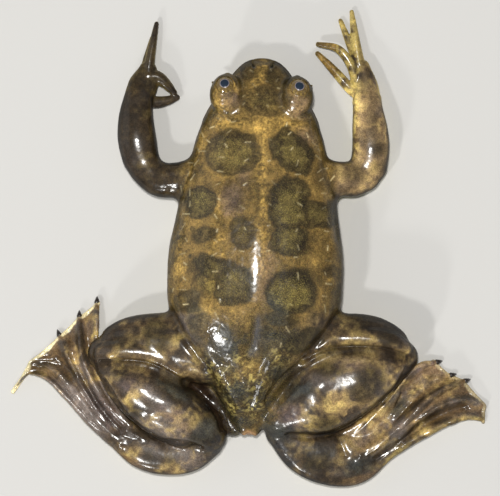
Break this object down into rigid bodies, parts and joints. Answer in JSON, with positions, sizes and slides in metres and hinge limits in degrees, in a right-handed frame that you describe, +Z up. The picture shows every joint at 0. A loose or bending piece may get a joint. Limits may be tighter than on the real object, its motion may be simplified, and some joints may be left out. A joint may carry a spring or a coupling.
{
  "type": "clawed frog",
  "caption": "Life-size still model of a Peters' platanna, a clawed frog, resting on its belly with its hind legs folded and its webbed feet spread.",
  "frame": {"origin": "on the floor under the middle of the whole animal's bounding box", "axes": "+Y along the body towards the snout, +X to the frog's right, +Z up"},
  "size_m": [0.077, 0.079, 0.0143],
  "materials": {
    "skin": "wet, smooth, blotched frog skin",
    "eye": "wet, glossy eyeball",
    "claw": "black horn, satin"
  },
  "bodies": {
    "root": {"head": "skin", "torso": "skin", "upper_arm_left": "skin", "upper_arm_right": "skin", "forearm_left": "skin", "forearm_right": "skin", "hand_left": "skin", "hand_right": "skin", "thigh_left": "skin", "thigh_right": "skin", "shank_left": "skin", "shank_right": "skin", "foot_left": "skin", "foot_right": "skin", "eye_left": "eye", "eye_right": "eye", "claw_left_1": "claw", "claw_left_2": "claw", "claw_left_3": "claw", "claw_right_1": "claw", "claw_right_2": "claw", "claw_right_3": "claw"}
  },
  "joints": []
}
